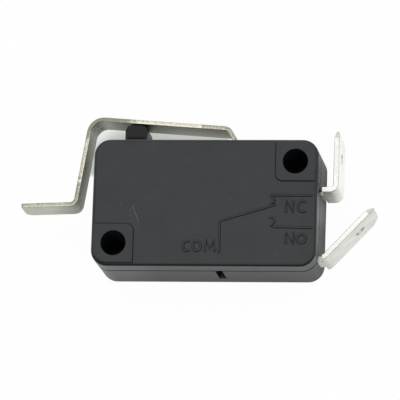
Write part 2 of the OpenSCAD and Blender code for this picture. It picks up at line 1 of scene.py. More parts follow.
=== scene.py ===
import math
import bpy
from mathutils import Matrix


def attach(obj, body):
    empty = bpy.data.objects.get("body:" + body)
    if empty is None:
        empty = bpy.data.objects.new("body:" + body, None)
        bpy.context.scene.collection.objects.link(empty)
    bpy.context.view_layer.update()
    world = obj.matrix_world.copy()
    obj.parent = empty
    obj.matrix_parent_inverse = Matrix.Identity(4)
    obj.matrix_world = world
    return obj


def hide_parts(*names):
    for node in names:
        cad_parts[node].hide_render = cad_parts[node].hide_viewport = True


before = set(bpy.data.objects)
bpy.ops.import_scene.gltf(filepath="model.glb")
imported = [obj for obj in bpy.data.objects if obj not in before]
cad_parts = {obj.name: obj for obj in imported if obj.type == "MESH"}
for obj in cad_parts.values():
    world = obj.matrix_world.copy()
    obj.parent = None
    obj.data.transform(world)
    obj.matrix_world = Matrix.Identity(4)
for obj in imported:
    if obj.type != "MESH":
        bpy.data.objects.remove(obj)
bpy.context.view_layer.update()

from types import SimpleNamespace

import bmesh
import bpy
from bpy.props import FloatProperty, FloatVectorProperty, IntProperty, PointerProperty
from mathutils import Matrix, Vector

bl_info = {
    "name": "Micro switch looks",
    "version": (1, 0, 0),
    "blender": (4, 5, 0),
    "location": "3D View > Sidebar > Micro switch",
    "description": "Finishes, bent strips, raised marks and the studio for a snap-action switch",
    "category": "Object",
}

MM = 0.001
PHENOLIC = "Moulded phenolic, satin"
# A pressed bend comes out a hair thinner than the flat strip, by these millimetres on each side.
BEND_THIN = 0.012
# Place of the crank's bend along the lever's strip, in millimetres.
CRANK_PLACE = 22.2
# Distance in millimetres from a punched hole inside which a strip's rim belongs to the hole.
HOLE_RIM = 0.3
# How far a blank's face lies flat: above the first share it is a rolled face, below the second a cut edge.
ROLLED, SHEARED = 0.95, 0.3
# Half of the angle that a side of an eight-sided bead spans.
HALF_SIDE = math.radians(22.5)
# Edges of the moulded pieces that turn by more than this are rounded.
SHARP = math.radians(40)
# Angles in degrees up to which moulded pieces, strips and beads are shaded smooth.
SMOOTH_MOULDED, SMOOTH_STRIP, SMOOTH_BEAD = 32, 35, 37
# Brightness of the cut edges: millimetres along a strip and how bright the edge is there, 0 to 1, both ends
# first.
LEVER_EDGE_TONES = (
    (0, 0.43), (38.9, 0.5), (7.9, 0.46), (8.05, 0.25), (8.25, 0.93), (8.6, 0.79), (16.3, 0.79),
    (16.5, 0.54), (17.0, 0.6), (17.4, 0.2), (20.2, 0.1), (22.8, 0.1), (23.8, 0.4), (24.6, 0.64),
    (28.9, 0.61), (29.15, 0.25), (29.35, 0.96), (29.7, 0.39), (32.4, 0.39), (33.6, 0.54),
)
TAB_EDGE_TONES = ((0, 0.61), (45, 0.61), (9, 0.75), (14, 0.54), (30, 0.57), (36, 0.79))
BURR_EDGE_TONES = ((0, 0.57), (45, 0.57))
# Parts of the white sheet in millimetres: span along X, span along Y and the soft rim inside them.
BODY_ZONE = (-1.9, 24.1), (-1.9, 12.2), 0.3
CRANK_ZONE = (-5.5, 12.8), (10.5, 17.0), 0.6
NEAR_ZONE = (-9.5, 28.8), (-8.0, 18.5), 2.4
BESIDE_ZONE = (26.8, 60.0), (7.2, 30.0), 1.0
# Parts where the pieces mirror less of the shaded paper and more of a glow, a painted reflection that
# brightens them, and the change there: in front of the left end, behind the body and under the upper tab's
# bend.
PAINTED_REFLECTION_ZONES = (
    ((-14.0, 4.2), (-12.0, -1.0), 3.0, -0.22),
    ((3.0, 15.5), (10.5, 17.0), 3.0, -0.21),
    ((25.1, 30.0), (4.2, 7.2), 0.8, -0.3),
)


def linear(code):
    """An sRGB hex colour as linear red, green, blue and alpha."""
    parts = [int(code[i : i + 2], 16) / 255 for i in (1, 3, 5)]
    return [c / 12.92 if c <= 0.04045 else ((c + 0.055) / 1.055) ** 2.4 for c in parts] + [1.0]


def shade(name, code, text):
    """A colour property whose default is a hex value."""
    return FloatVectorProperty(
        name=name, description=text, subtype="COLOR", size=4, min=0, max=1, default=linear(code)
    )


def length(name, mm, text):
    """A length property whose default is in millimetres."""
    return FloatProperty(
        name=name, description=text, unit="LENGTH", subtype="DISTANCE", precision=5, default=mm * MM
    )


def turn(name, degrees, text):
    """An angle property whose default is in degrees."""
    return FloatProperty(
        name=name, description=text, unit="ROTATION", subtype="ANGLE", default=math.radians(degrees)
    )


class MouldingSettings(bpy.types.PropertyGroup):
    body: shade("Body", "#0e1318", "Main tone of the moulded case and cover")
    body_pale: shade("Body, pale", "#23292e", "Paler clouds in the moulded case and cover")
    scuff: shade("Scuff", "#4a4b4c", "Fine scuffs on the moulded face")
    scratch: shade("Scratch", "#4c4d4d", "Scratches and nicks on the moulded face")
    scratch_pale: shade("Scratch, pale", "#787978", "Palest part of the scratches")
    scratch_width: length("Scratch width", 0.055, "Width of the scratches, raised like a burr")
    button: shade("Plunger", "#101210", "Main tone of the plunger")
    button_pale: shade("Plunger, pale", "#151715", "Paler clouds in the plunger")
    break_edge: length("Edge break", 0.045, "Rounding of the moulded edges and of the seam")
    pad_edge: length("Pad edge", 0.19, "Rounding of the raised pads' upper edges")
    hole_dx: length("Hole spacing X", 22.2, "Distance between the mounting holes along the body")
    hole_dy: length("Hole spacing Y", 10.3, "Distance between the mounting holes across the body")
    hole_rim: length("Hole rim", 1.7, "Radius inside which an edge belongs to a mounting hole")
    mark_width: length("Mark width", 0.33, "Width of the raised marks")
    mark_height: length("Mark height", 0.13, "Height of the raised marks above the face")
    mark_slope: FloatProperty(
        name="Mark slope", description="Run of the raised marks' sides for each unit of height", default=0.6
    )
    face_height: length("Face height", 10.1, "Height of the front face above the back face")


class LeverSettings(bpy.types.PropertyGroup):
    steel: shade("Steel", "#b2b3a5", "Rolled faces of the strip")
    steel_dark: shade("Steel, dark", "#9c9d8e", "Darker rolling marks")
    edge: shade("Sheared edge", "#e9e6d3", "Burnished part of the cut edges")
    edge_dark: shade("Sheared edge, dark", "#8a897e", "Torn part of the cut edges")
    smudge: shade("Smudge", "#5d5e55", "Dull smudges inside the crank")
    thick: length("Thickness", 0.5, "Thickness of the strip")
    width: length("Width", 4.6, "Width of the strip")
    middle: length("Middle", 5.15, "Height of the strip's middle above the back face")
    break_edge: length("Edge break", 0.05, "Rounding of the strip's cut edges")
    pivot_x: length("Pivot X", 15.05, "Pivot along the body")
    pivot_y: length("Pivot Y", 12.4, "Pivot across the body")
    foot_lean: turn("Foot lean", 31, "Lean of the foot from upright")
    foot_width: length("Foot width", 3.4, "Width of the foot in the wall")
    hook_width: length("Hook width", 5.0, "Width of the foot's hooked end")
    hook_length: length("Hook length", 0.6, "Length of the foot's hooked end")
    hook_drop: length("Hook drop", 1.15, "Distance from the pivot to the hooked end")
    foot_clear: length("Foot clearance", 1.05, "Height above the pivot at which the foot widens")
    arm_height: length("Arm height", 2.81406, "Distance from the pivot to the arm's outer face")
    arm_slope: turn("Arm slope", 4.2, "Slope of the arm at rest")
    arm_length: length("Arm length", 17.5787, "Length between the arm's outer corners")
    leg_lean: turn("Leg lean", 8.6, "Lean of the leg from upright")
    leg_length: length("Leg length", 11, "Length between the leg's corners")
    tip_tilt: turn("Tip tilt", 2, "Tilt of the turned-out tip")
    tip_length: length("Tip length", 6.55, "Length of the tip from the leg's corner")
    tip_back: length("Tip back corner", 1.0, "Radius of the tip's back corner")
    tip_front: length("Tip front corner", 0.3, "Radius of the tip's front corner")
    foot_bend: length("Foot bend", 0.6, "Inner radius of the bend above the foot")
    crank_bend: length("Crank bend", 1.6, "Inner radius of the bend between arm and leg")
    tip_bend: length("Tip bend", 0.6, "Inner radius of the bend between leg and tip")


class TerminalSettings(bpy.types.PropertyGroup):
    plate: shade("Plating", "#f9f9f5", "Bright plated faces")
    plate_dull: shade("Plating, dull", "#e4e5de", "Duller clouds in the plating")
    edge: shade("Plated edge", "#f6f6f1", "Bright part of the plated cut edges")
    edge_dark: shade("Plated edge, dark", "#d6d7d0", "Torn part of the plated cut edges")
    burr: shade("Burr", "#5c5d58", "Specks of dirt along the rims of the plated cut edges")
    thick: length("Thickness", 0.65, "Thickness of the strip")
    break_edge: length("Edge break", 0.085, "Rounding of the strip's edges")
    strip_width: length("Strip width", 4.4, "Width of the strip inside the case")
    upper_neck: length("Upper neck width", 2.4, "Width of the upper neck in the end wall")
    lower_neck: length("Lower neck width", 3.5, "Width of the lower neck in the end wall")
    neck_z: length("Neck height", 3.35, "Height of the neck's back edge")
    strip_z: length("Strip height", 2.5, "Height of the strip's back edge")
    tab_width: length("Tab width", 6.35, "Width of the tabs")
    tab_z: length("Tab height", 1.95, "Height of the tabs' back edge")
    neck_x: length("Neck start", 23.57, "Inner side of the end wall")
    upper_shoulder: length("Upper shoulder", 25.35, "Start of the upper tab's shoulders")
    lower_shoulder: length("Lower shoulder", 25.6, "Start of the lower tab's shoulders")
    taper_length: length("Taper length", 1.0, "Length of the taper at the tips")
    taper_inset: length("Taper inset", 0.9, "Inset of the taper at the tips")
    coin_length: length("Coined length", 0.9, "Length of the flattened lead-in at the tips")
    coin_thin: FloatProperty(
        name="Coined share", description="Share of the thickness that coining takes at the tips",
        subtype="FACTOR", min=0, max=1, default=0.554,
    )
    detent: length("Latching hole", 1.5, "Diameter of the latching holes")
    detent_back: length("Latching hole place", 3.0, "Distance from a tip to its latching hole")
    upper_y: length("Upper strip", 6.9, "Underside of the upper strip")
    upper_x: length("Upper strip end", 16.1, "Inner end of the upper strip")
    upper_reach: length("Upper tab place", 27.35, "Outer side of the upright tab")
    upper_rise: length("Upper tab rise", 7.8, "Height of the upright tab above the strip's underside")
    upper_bend: length("Upper bend", 0.35, "Inner radius of the upper tab's bend")
    lower_y: length("Lower strip", -1.5, "Underside of the lower strip")
    lower_slant: turn("Lower slant", 47, "Slant of the lower tab")
    lower_length: length("Lower tab length", 8.65, "Length of the lower tab from its corner")
    lower_bend: length("Lower bend", 0.25, "Inner radius of the lower tab's bend")
    post_x: length("Post place", 6.15, "Outer side of the forked post")
    post_top: length("Post top", 6.05, "Height of the forked post")
    post_bend: length("Post bend", 0.65, "Inner radius of the bend under the post")
    fork_gap: length("Fork gap", 2.6, "Width of the slot in the post")
    fork_floor: length("Fork floor", 1.8, "Lower end of the slot in the post")
    groove_x: length("Groove place", 6.83, "Axis of the grooves for the contact arm")
    groove_y: length("Groove height", 5.45, "Height of the grooves for the contact arm")
    groove: length("Groove", 0.25, "Radius of the grooves for the contact arm")
    shank: length("Contact hole", 1.26, "Diameter of the hole for the fixed contact")
    contact_x: length("Contact place", 17.5, "Place of the contacts along the body")


class ActionSettings(bpy.types.PropertyGroup):
    bronze: shade("Bronze", "#c79a63", "Leaf and contact arm")
    bronze_dark: shade("Bronze, dark", "#a67b48", "Darker rolling marks on the bronze")
    silver: shade("Silver", "#d8d6cd", "Contact rivets")
    silver_dark: shade("Silver, dark", "#b5b2a6", "Tarnish on the contact rivets")
    wire: shade("Wire", "#b6babd", "Spring wire")
    wire_dark: shade("Wire, dark", "#8c9093", "Drawing marks on the wire")
    wire_size: length("Wire", 0.28, "Diameter of the spring's wire")
    coil: length("Coil", 0.85, "Mean radius of the coils")
    turns: IntProperty(name="Turns", description="Number of coils", default=14, min=2)
    leaf_end: FloatVectorProperty(
        name="Leaf hole", description="Spring hole in the leaf", unit="LENGTH", subtype="XYZ",
        default=(4.0315 * MM, 7.8119 * MM, 4.7 * MM),
    )
    arm_end: FloatVectorProperty(
        name="Arm hole", description="Spring hole in the contact arm", unit="LENGTH", subtype="XYZ",
        default=(13.63 * MM, 5.45 * MM, 4.7 * MM),
    )


class StudioSettings(bpy.types.PropertyGroup):
    floor: shade("Floor", "#f1f5ef", "White sheet under the switch")
    # Painted shade: a dark grey for the sheet under the body, seen through the mounting holes.
    floor_painted_shade: shade("Floor, dark", "#404040", "The sheet at the foot of the mounting holes")
    sheet: length("Sheet", 2000, "Half the width of the white sheet")
    floor_glow: FloatProperty(
        name="Floor glow", description="Share of plain white in what the camera sees of the floor",
        subtype="FACTOR", min=0, max=1, default=0.97,
    )
    card: length("Bright card", 12, "Reach towards the front of the bright sheet that the pieces mirror")
    card_fade: length("Card fade", 26, "Reach at which the mirrored sheet has gone dark")
    sky: FloatProperty(name="Sky", description="Brightness of the light tent overhead", default=1.24)
    horizon: FloatProperty(name="Horizon", description="Brightness of the tent's rim in front", default=0.03)
    rim: FloatProperty(name="Rim", description="Brightness of the tent's rim behind", default=0.4)
    lens: FloatProperty(name="Lens", description="Focal length", unit="CAMERA", default=437.7)
    camera: FloatVectorProperty(
        name="Camera", description="Place of the camera", unit="LENGTH", subtype="XYZ",
        default=(94.498 * MM, -124.082 * MM, 585.082 * MM),
    )
    back: FloatVectorProperty(
        name="View axis", description="Direction from the switch to the camera", subtype="DIRECTION",
        default=(0.140964, -0.217539, 0.965782),
    )
    right: FloatVectorProperty(
        name="View right", description="Direction to the right in the picture", subtype="DIRECTION",
        default=(0.989961, 0.033651, -0.136956),
    )


class SwitchSettings(bpy.types.PropertyGroup):
    moulding: PointerProperty(type=MouldingSettings)
    lever: PointerProperty(type=LeverSettings)
    terminal: PointerProperty(type=TerminalSettings)
    action: PointerProperty(type=ActionSettings)
    studio: PointerProperty(type=StudioSettings)


def millimetres(group):
    """The lengths of a settings group in millimetres."""
    return SimpleNamespace(**{
        key: getattr(group, key) / MM
        for key, prop in group.bl_rna.properties.items() if prop.subtype == "DISTANCE"
    })


def add(tree, kind, feeds=None, **settings):
    """Adds a node; feeds gives its inputs, each a value, a socket or a node for its first output."""
    node = tree.nodes.new(kind)
    for key, value in settings.items():
        setattr(node, key, value)
    for key, value in (feeds or {}).items():
        if isinstance(value, bpy.types.Node):
            value = value.outputs[0]
        if isinstance(value, bpy.types.NodeSocket):
            tree.links.new(value, node.inputs[key])
        else:
            node.inputs[key].default_value = value
    return node


def new_material(name):
    """An empty material with its node tree and the object's own coordinates in metres."""
    material = bpy.data.materials.new(name)
    material.use_nodes = True
    tree = material.node_tree
    tree.nodes.clear()
    place = add(tree, "ShaderNodeTexCoord").outputs["Object"]
    return material, tree, place


def moulded_plastic(name, low, high, rough, shine, scuff=None):
    """Moulded phenolic or nylon: a satin skin, faint clouds from the flow, a fine spark-eroded grain."""
    material, tree, place = new_material(name)
    clouds = add(tree, "ShaderNodeTexNoise", {"Vector": place, "Scale": 1 / (2.2 * MM), "Detail": 4.0})
    colour = add(tree, "ShaderNodeMix", {0: clouds, 6: low, 7: high}, data_type="RGBA").outputs[2]
    if scuff is not None:
        # Handling leaves hair-thin pale scuffs a few millimetres long on the face.
        warp = add(tree, "ShaderNodeTexNoise", {"Vector": place, "Scale": 1 / (5 * MM), "Detail": 1.0})
        off = add(tree, "ShaderNodeMath", {0: warp, 1: 0.5}, operation="SUBTRACT")
        near = add(tree, "ShaderNodeMath", {0: off}, operation="ABSOLUTE")
        line = add(
            tree, "ShaderNodeMapRange",
            {"Value": near, "From Min": 0.0, "From Max": 0.006, "To Min": 1.0, "To Max": 0.0},
        )
        patch = add(tree, "ShaderNodeTexNoise", {"Vector": place, "Scale": 1 / (2.6 * MM), "Detail": 2.0})
        keep = add(
            tree, "ShaderNodeMapRange",
            {"Value": patch, "From Min": 0.6, "From Max": 0.7, "To Min": 0.0, "To Max": 0.5},
        )
        both = add(tree, "ShaderNodeMath", {0: line, 1: keep}, operation="MULTIPLY")
        colour = add(tree, "ShaderNodeMix", {0: both, 6: colour, 7: scuff}, data_type="RGBA").outputs[2]
    # The real grain is about 0.05 mm; it is drawn at 0.15 mm so that it shows.
    grain = add(tree, "ShaderNodeTexNoise", {"Vector": place, "Scale": 1 / (0.15 * MM), "Detail": 3.0})
    gloss = add(
        tree, "ShaderNodeMapRange", {"Value": grain, "To Min": rough - 0.06, "To Max": rough + 0.06}
    )
    bump = add(tree, "ShaderNodeBump", {"Height": grain, "Strength": 0.25, "Distance": 0.01 * MM})
    # Painted shade: where the surface is closed in, at seams and the feet of raised forms, it mirrors less,
    # so they draw fine dark lines.
    crease_shade = add(tree, "ShaderNodeAmbientOcclusion", {"Distance": 0.25 * MM}, samples=8)
    mirror = add(
        tree, "ShaderNodeMapRange",
        {
            "Value": crease_shade.outputs["AO"], "From Min": 0.35, "From Max": 0.85,
            "To Min": 0.1 * shine, "To Max": shine,
        },
    )
    shader = add(
        tree, "ShaderNodeBsdfPrincipled",
        {
            "Base Color": colour, "Roughness": gloss, "Normal": bump, "IOR": 1.5,
            "Specular IOR Level": mirror,
        },
    )
    add(tree, "ShaderNodeOutputMaterial", {"Surface": shader})
    return material


def rolled_metal(name, low, high, rough, line_mm, relief, smudge=None):
    """Rolled and plated strip: bright, with fine lines along its length that stretch what it mirrors."""
    material, tree, place = new_material(name)
    # The rolling lines run along the strip, so they change only across its width, which lies along Z.
    lines = add(
        tree, "ShaderNodeMapping",
        {"Vector": place, "Scale": (1 / (6 * MM), 1 / (6 * MM), 1 / (line_mm * MM))}, vector_type="POINT",
    )
    grain = add(tree, "ShaderNodeTexNoise", {"Vector": lines, "Scale": 1.0, "Detail": 3.0})
    clouds = add(tree, "ShaderNodeTexNoise", {"Vector": place, "Scale": 1 / (1.6 * MM), "Detail": 3.0})
    mixed = add(tree, "ShaderNodeMath", {0: grain, 1: clouds}, operation="MULTIPLY")
    tone = add(tree, "ShaderNodeMapRange", {"Value": mixed, "From Min": 0.12, "From Max": 0.4})
    colour = add(tree, "ShaderNodeMix", {0: tone, 6: low, 7: high}, data_type="RGBA").outputs[2]
    if smudge is not None:
        # Small dark, dull spots are drawn on the inner side of the crank, near its bend.
        strip_map = add(tree, "ShaderNodeUVMap", uv_map="Strip")
        strip = add(tree, "ShaderNodeSeparateXYZ", {0: strip_map}).outputs
        off = add(tree, "ShaderNodeMath", {0: strip["X"], 1: CRANK_PLACE}, operation="SUBTRACT")
        far = add(tree, "ShaderNodeMath", {0: off}, operation="ABSOLUTE")
        bent = add(
            tree, "ShaderNodeMapRange", {"Value": far, "From Min": 2.2, "From Max": 1.2, "To Max": 0.85}
        )
        spots = add(tree, "ShaderNodeTexNoise", {"Vector": place, "Scale": 1 / (0.8 * MM), "Detail": 3.0})
        dull = add(tree, "ShaderNodeMapRange", {"Value": spots, "From Min": 0.5, "From Max": 0.62})
        inner = add(tree, "ShaderNodeMapRange", {"Value": strip["Y"], "From Min": 0.1, "From Max": 0.2})
        spot = add(tree, "ShaderNodeMath", {0: bent, 1: dull}, operation="MULTIPLY")
        spot = add(tree, "ShaderNodeMath", {0: spot, 1: inner}, operation="MULTIPLY")
        colour = add(tree, "ShaderNodeMix", {0: spot, 6: colour, 7: smudge}, data_type="RGBA").outputs[2]
    gloss = add(tree, "ShaderNodeMapRange", {"Value": grain, "To Min": rough - 0.08, "To Max": rough + 0.1})
    bump = add(tree, "ShaderNodeBump", {"Height": grain, "Strength": 0.3, "Distance": relief * MM})
    shader = add(
        tree, "ShaderNodeBsdfPrincipled",
        {"Base Color": colour, "Metallic": 1.0, "Roughness": gloss, "Normal": bump},
    )
    add(tree, "ShaderNodeOutputMaterial", {"Surface": shader})
    return material


def sheared_edge(name, low, high, rough, band, edge_tones):
    """Sheared edge of a strip: a bright burnished band, a torn grey band, and stretches drawn brighter or
    duller along it.
    """
    material, tree, place = new_material(name)
    # The strip's own map gives millimetres along it and across its thickness.
    strip_map = add(tree, "ShaderNodeUVMap", uv_map="Strip")
    strip = add(tree, "ShaderNodeSeparateXYZ", {0: strip_map}).outputs
    tears = add(tree, "ShaderNodeTexNoise", {"Vector": place, "Scale": 1 / (0.22 * MM), "Detail": 4.0})
    # Stretches of the cut, some very short, are drawn brighter or duller along the strip, as its table gives.
    reach = edge_tones[1][0]
    along = add(tree, "ShaderNodeMath", {0: strip["X"], 1: reach}, operation="DIVIDE")
    stretch = add(tree, "ShaderNodeValToRGB", {"Fac": along})
    stops = stretch.color_ramp.elements
    for i, (mm, tone) in enumerate(edge_tones):
        stop = stops[i] if i < 2 else stops.new(mm / reach)
        stop.position = mm / reach
        stop.color = (tone, tone, tone, 1)
    along_tone = add(tree, "ShaderNodeMath", {0: stretch, 1: 1.4, 2: -0.35}, operation="MULTIPLY_ADD")
    # Across the thickness the burnished band gives way to the torn one, with a ragged line between them.
    across = add(tree, "ShaderNodeMath", {0: strip["Y"], 1: band, 2: -0.8}, operation="MULTIPLY_ADD")
    ragged = add(tree, "ShaderNodeMath", {0: tears, 1: 1.6, 2: across}, operation="MULTIPLY_ADD")
    tone = add(tree, "ShaderNodeMath", {0: along_tone, 1: ragged}, operation="ADD", use_clamp=True)
    colour = add(tree, "ShaderNodeMix", {0: tone, 6: low, 7: high}, data_type="RGBA").outputs[2]
    gloss = add(tree, "ShaderNodeMapRange", {"Value": tears, "To Min": rough + 0.1, "To Max": rough - 0.1})
    bump = add(tree, "ShaderNodeBump", {"Height": tears, "Strength": 0.6, "Distance": 0.03 * MM})
    shader = add(
        tree, "ShaderNodeBsdfPrincipled",
        {"Base Color": colour, "Metallic": 1.0, "Roughness": gloss, "Normal": bump},
    )
    add(tree, "ShaderNodeOutputMaterial", {"Surface": shader})
    return material


def within(tree, axes, span_x, span_y, soft):
    """One inside a rectangle in millimetres, falling to zero across a soft rim inside it."""
    rims = []
    for axis, (low, high) in (("X", span_x), ("Y", span_y)):
        for start, end in ((low, low + soft), (high, high - soft)):
            rims.append(add(
                tree, "ShaderNodeMapRange",
                {"Value": axes[axis], "From Min": start * MM, "From Max": end * MM},
            ))
    product = rims[0]
    for rim in rims[1:]:
        product = add(tree, "ShaderNodeMath", {0: product, 1: rim}, operation="MULTIPLY")
    return product


def matte_paper(s):
    """Matte white paper: faint fibres, and in the open a glow, so that the camera and metal see it white;
    under the body it is painted dark, a painted shade, and in some parts it glows for mirrored rays, a
    painted reflection.
    """
    material, tree, place = new_material("Paper, matte white")
    fibres = add(tree, "ShaderNodeTexNoise", {"Vector": place, "Scale": 1 / (3 * MM), "Detail": 3.0})
    pale = [min(1.0, c * 1.03) for c in s.floor]
    colour = add(tree, "ShaderNodeMix", {0: fibres, 6: s.floor, 7: pale}, data_type="RGBA").outputs[2]
    axes = add(tree, "ShaderNodeSeparateXYZ", {0: place}).outputs
    # Under the body the sheet is painted dark grey, a painted shade at the foot of the mounting holes, so
    # that they look black.
    body = within(tree, axes, *BODY_ZONE)
    colour = add(tree, "ShaderNodeMix", {0: body, 6: colour, 7: s.floor_painted_shade}, data_type="RGBA").outputs[2]
    paper = add(tree, "ShaderNodeBsdfDiffuse", {"Color": colour})
    # Inside the lever's crank it keeps its shade wherever body and lever close it in.
    crank = within(tree, axes, *CRANK_ZONE)
    closed = add(tree, "ShaderNodeAmbientOcclusion", {"Distance": 12 * MM}, samples=16).outputs["AO"]
    dim = add(
        tree, "ShaderNodeMapRange",
        {"Value": closed, "From Min": 0.66, "From Max": 0.84, "To Min": 0.95, "To Max": 0.0},
    )
    dim = add(tree, "ShaderNodeMath", {0: crank, 1: dim}, operation="MULTIPLY")
    shaded = add(tree, "ShaderNodeMath", {0: body, 1: dim}, operation="MAXIMUM")
    open_zone = add(tree, "ShaderNodeMath", {0: 1.0, 1: shaded}, operation="SUBTRACT")
    # Close to the switch the pieces mirror the shaded paper, further out a card. Left of the body, right of
    # the upper tab and in some parts they mirror less of it and more of a glow, a painted reflection that
    # brightens them.
    near = within(tree, axes, *NEAR_ZONE)
    beside = within(tree, axes, *BESIDE_ZONE)
    lit = add(
        tree, "ShaderNodeMapRange",
        {"Value": axes["X"], "From Min": -4 * MM, "From Max": -1 * MM, "To Min": 0.78},
    )
    lit = add(tree, "ShaderNodeMath", {0: beside, 1: -0.95, 2: lit}, operation="MULTIPLY_ADD")
    for span_x, span_y, soft, change in PAINTED_REFLECTION_ZONES:
        part = within(tree, axes, span_x, span_y, soft)
        lit = add(tree, "ShaderNodeMath", {0: part, 1: change, 2: lit}, operation="MULTIPLY_ADD")
    close = add(tree, "ShaderNodeMath", {0: near, 1: lit}, operation="MULTIPLY")
    mirror_zone = add(tree, "ShaderNodeMath", {0: 1.0, 1: close}, operation="SUBTRACT")
    # The card goes dark towards the front. Behind and beside the switch its glow is raised, a painted
    # reflection with no lamp there.
    fade = add(
        tree, "ShaderNodeMapRange",
        {
            "Value": axes["Y"], "From Min": -s.card_fade, "From Max": -s.card,
            "To Min": s.horizon, "To Max": 1.0,
        },
    )
    painted_glow = add(
        tree, "ShaderNodeMapRange",
        {"Value": axes["Y"], "From Min": 5 * MM, "From Max": 9 * MM, "To Min": 1.0, "To Max": 1.13},
    )
    painted_glow = add(tree, "ShaderNodeMath", {0: beside, 1: 0.12, 2: painted_glow}, operation="MULTIPLY_ADD")
    fade = add(tree, "ShaderNodeMath", {0: fade, 1: painted_glow}, operation="MULTIPLY")
    ray = add(tree, "ShaderNodeLightPath").outputs
    mirror = add(
        tree, "ShaderNodeMath", {0: ray["Is Glossy Ray"], 1: ray["Is Transmission Ray"]},
        operation="MAXIMUM",
    )
    level = add(tree, "ShaderNodeMix", {0: mirror, 2: 1.0, 3: fade})
    glow = add(tree, "ShaderNodeEmission", {"Strength": level})
    camera_part = add(
        tree, "ShaderNodeMath", {0: ray["Is Camera Ray"], 1: s.floor_glow}, operation="MULTIPLY"
    )
    seen = add(tree, "ShaderNodeMath", {0: camera_part, 1: open_zone}, operation="MULTIPLY")
    share = add(tree, "ShaderNodeMath", {0: mirror, 1: mirror_zone, 2: seen}, operation="MULTIPLY_ADD")
    mixed = add(tree, "ShaderNodeMixShader", {0: share, 1: paper, 2: glow})
    add(tree, "ShaderNodeOutputMaterial", {"Surface": mixed})
    return material


def light_tent(s):
    """A soft white tent overhead, open in front: its rim is dark there, brighter behind and to the right."""
    world = bpy.data.worlds.new("Light tent")
    world.use_nodes = True
    tree = world.node_tree
    tree.nodes.clear()
    way = add(tree, "ShaderNodeTexCoord").outputs["Generated"]
    axes = add(tree, "ShaderNodeSeparateXYZ", {0: way}).outputs
    lean = add(
        tree, "ShaderNodeVectorMath", {0: way, 1: (0.1, 0.24, 0.0)}, operation="DOT_PRODUCT"
    ).outputs["Value"]
    top = add(tree, "ShaderNodeMath", {0: lean, 1: s.sky, 2: s.sky}, operation="MULTIPLY_ADD")
    rim = add(
        tree, "ShaderNodeMapRange",
        {"Value": axes["Y"], "From Min": -0.7, "From Max": 0.4, "To Min": s.horizon, "To Max": s.rim},
        interpolation_type="SMOOTHSTEP",
    )
    level = add(
        tree, "ShaderNodeMapRange",
        {"Value": axes["Z"], "From Min": 0.25, "From Max": 0.85, "To Min": rim, "To Max": top},
        interpolation_type="SMOOTHSTEP",
    )
    tent = add(tree, "ShaderNodeBackground", {"Color": linear("#ffffff"), "Strength": level})
    add(tree, "ShaderNodeOutputWorld", {"Surface": tent})
    return world


def new_object(name, mesh, *materials):
    """An object at the origin with its materials."""
    obj = bpy.data.objects.new(name, mesh)
    bpy.context.scene.collection.objects.link(obj)
    mesh.materials.clear()
    for material in materials:
        mesh.materials.append(material)
    return obj


def plain_mesh(obj):
    """An object's finished shape, with its modifiers, as a plain mesh."""
    graph = bpy.context.evaluated_depsgraph_get()
    mesh = bpy.data.meshes.new_from_object(obj.evaluated_get(graph), depsgraph=graph)
    if not mesh.polygons:
        raise RuntimeError("No faces came out of " + obj.name)
    return mesh


def softened_copy(node, name, edge, material, wide=None, is_wide=None):
    """A merged copy of a moulded CAD piece with its sharp edges rounded, chosen ones by a wider radius."""
    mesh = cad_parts[node].data.copy()
    mesh.name = name
    work = bmesh.new()
    work.from_mesh(mesh)
    bmesh.ops.remove_doubles(work, verts=work.verts, dist=0.0005 * MM)
    bmesh.ops.dissolve_limit(
        work, angle_limit=math.radians(0.5), verts=work.verts, edges=work.edges, use_dissolve_boundaries=False
    )
    wide = wide or edge
    weight = work.edges.layers.float.new("bevel_weight_edge")
    for line in work.edges:
        if line.is_manifold and line.calc_face_angle() > SHARP:
            line[weight] = 1.0 if is_wide and is_wide(line) else edge / wide
    work.to_mesh(mesh)
    work.free()
    obj = new_object(name, mesh, material)
    bevel = obj.modifiers.new("Edge break", "BEVEL")
    bevel.width = wide
    bevel.segments = 3
    bevel.limit_method = "WEIGHT"
    bevel.loop_slide = False
    bevel.use_clamp_overlap = False
    bevel.miter_outer = "MITER_ARC"
    finished = plain_mesh(obj)
    obj.modifiers.clear()
    obj.data = finished
    smooth(obj, SMOOTH_MOULDED)
    return obj


def smooth(obj, degrees):
    """Smooth shading up to an angle, weighted so that flat faces stay flat."""
    obj.data.shade_smooth()
    obj.data.set_sharp_from_angle(angle=math.radians(degrees))
    obj.modifiers.new("Weighted normals", "WEIGHTED_NORMAL").keep_sharp = True


